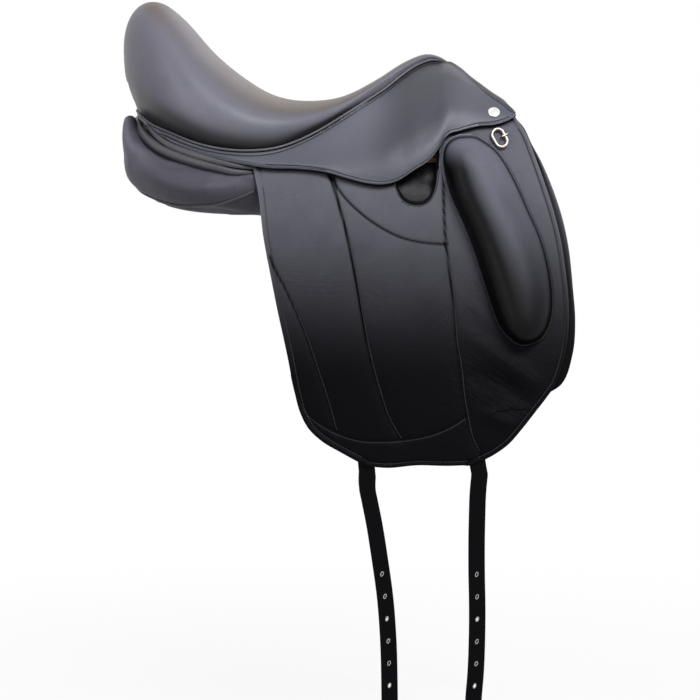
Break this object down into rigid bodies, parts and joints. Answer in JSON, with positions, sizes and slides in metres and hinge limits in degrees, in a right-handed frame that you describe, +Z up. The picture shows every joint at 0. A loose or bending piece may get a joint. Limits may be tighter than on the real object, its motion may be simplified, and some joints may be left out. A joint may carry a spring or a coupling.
{
  "type": "dressage saddle",
  "caption": "Monoflap dressage saddle with a deep padded seat, outside knee blocks, wool panels and long girth straps.",
  "frame": {"origin": "on the saddle's middle plane, level with the surfaces of the two panels that rest on the horse's back", "axes": "+X to the horse's head, +Y to the rider's left, +Z up"},
  "size_m": [0.5671, 0.4234, 0.9249],
  "materials": {
    "black_leather": "smooth black leather",
    "seat_foam": "seat foam",
    "tree_laminate": "laminated beech",
    "webbing": "linen webbing",
    "steel": "plain steel",
    "nickel": "polished nickel"
  },
  "bodies": {
    "saddle": {"seat_cover": "black_leather", "seat_welt": "black_leather", "seat_foam": "seat_foam", "tree_frame": "tree_laminate", "seat_webbing": "webbing", "head_plate": "steel", "gullet_plate": "steel", "cantle_plate": "steel", "stirrup_bar_right": "steel", "catch_pin_right": "steel", "bar_rivet_front_right": "steel", "bar_rivet_rear_right": "steel", "stirrup_bar_left": "steel", "catch_pin_left": "steel", "bar_rivet_front_left": "steel", "bar_rivet_rear_left": "steel", "skirt_right": "black_leather", "skirt_left": "black_leather", "flap_right": "black_leather", "sweat_flap_right": "black_leather", "flap_left": "black_leather", "sweat_flap_left": "black_leather", "knee_block_right": "black_leather", "knee_block_left": "black_leather", "panel_right": "black_leather", "panel_left": "black_leather", "cantle_roll_upper": "black_leather", "cantle_roll_lower": "black_leather", "pommel_facing": "black_leather", "pommel_stud_right": "nickel", "pommel_stud_left": "nickel", "dee_staple_right": "nickel", "dee_staple_left": "nickel", "girth_strap_front_right_upper": "black_leather", "girth_strap_front_left_upper": "black_leather", "girth_strap_rear_right_upper": "black_leather", "girth_strap_rear_left_upper": "black_leather"},
    "flap_corner_right": {"flap_corner_right": "black_leather"},
    "skirt_lobe_right": {"skirt_lobe_right": "black_leather"},
    "girth_strap_front_right": {"girth_strap_front_right": "black_leather"},
    "girth_strap_rear_right": {"girth_strap_rear_right": "black_leather"},
    "dee_ring_right": {"dee_ring_right": "nickel"},
    "bar_catch_right": {"bar_catch_right": "steel"},
    "flap_corner_left": {"flap_corner_left": "black_leather"},
    "skirt_lobe_left": {"skirt_lobe_left": "black_leather"},
    "girth_strap_front_left": {"girth_strap_front_left": "black_leather"},
    "girth_strap_rear_left": {"girth_strap_rear_left": "black_leather"},
    "dee_ring_left": {"dee_ring_left": "nickel"},
    "bar_catch_left": {"bar_catch_left": "steel"}
  },
  "joints": [
    {"name": "flap_corner_lift_right", "type": "hinge", "parent": "saddle", "child": "flap_corner_right", "pos_m": [0.057, -0.17938, -0.117], "axis": [-0.7919, 0.0879, 0.6043], "range_deg": [0, 60]},
    {"name": "skirt_lift_right", "type": "hinge", "parent": "saddle", "child": "skirt_lobe_right", "pos_m": [0.021, -0.14457, 0.0655], "axis": [-0.977, -0.133, -0.1664], "range_deg": [0, 70]},
    {"name": "girth_strap_front_right_swing", "type": "hinge", "parent": "saddle", "child": "girth_strap_front_right", "pos_m": [0.16, -0.20607, -0.3275], "axis": [-1, 0, 0], "range_deg": [-30, 60]},
    {"name": "girth_strap_rear_right_swing", "type": "hinge", "parent": "saddle", "child": "girth_strap_rear_right", "pos_m": [0.0245, -0.2059, -0.3275], "axis": [-1, 0, 0], "range_deg": [-30, 60]},
    {"name": "dee_ring_swing_right", "type": "hinge", "parent": "saddle", "child": "dee_ring_right", "pos_m": [0.19169, -0.10973, 0.08307], "axis": [-0.4875, 0.2226, 0.8443], "range_deg": [0, 120]},
    {"name": "bar_catch_turn_right", "type": "hinge", "parent": "saddle", "child": "bar_catch_right", "pos_m": [0.04786, -0.1178, 0.07542], "axis": [-0.0522, 0.8266, -0.5603], "range_deg": [0, 80]},
    {"name": "flap_corner_lift_left", "type": "hinge", "parent": "saddle", "child": "flap_corner_left", "pos_m": [0.057, 0.17938, -0.117], "axis": [0.7919, 0.0879, -0.6043], "range_deg": [0, 60]},
    {"name": "skirt_lift_left", "type": "hinge", "parent": "saddle", "child": "skirt_lobe_left", "pos_m": [0.021, 0.14457, 0.0655], "axis": [0.977, -0.133, 0.1664], "range_deg": [0, 70]},
    {"name": "girth_strap_front_left_swing", "type": "hinge", "parent": "saddle", "child": "girth_strap_front_left", "pos_m": [0.16, 0.20607, -0.3275], "axis": [1, 0, 0], "range_deg": [-30, 60]},
    {"name": "girth_strap_rear_left_swing", "type": "hinge", "parent": "saddle", "child": "girth_strap_rear_left", "pos_m": [0.0245, 0.2059, -0.3275], "axis": [1, 0, 0], "range_deg": [-30, 60]},
    {"name": "dee_ring_swing_left", "type": "hinge", "parent": "saddle", "child": "dee_ring_left", "pos_m": [0.19169, 0.10973, 0.08307], "axis": [0.4875, 0.2226, -0.8443], "range_deg": [0, 120]},
    {"name": "bar_catch_turn_left", "type": "hinge", "parent": "saddle", "child": "bar_catch_left", "pos_m": [0.04786, 0.1178, 0.07542], "axis": [0.0522, 0.8266, 0.5603], "range_deg": [0, 80]}
  ]
}
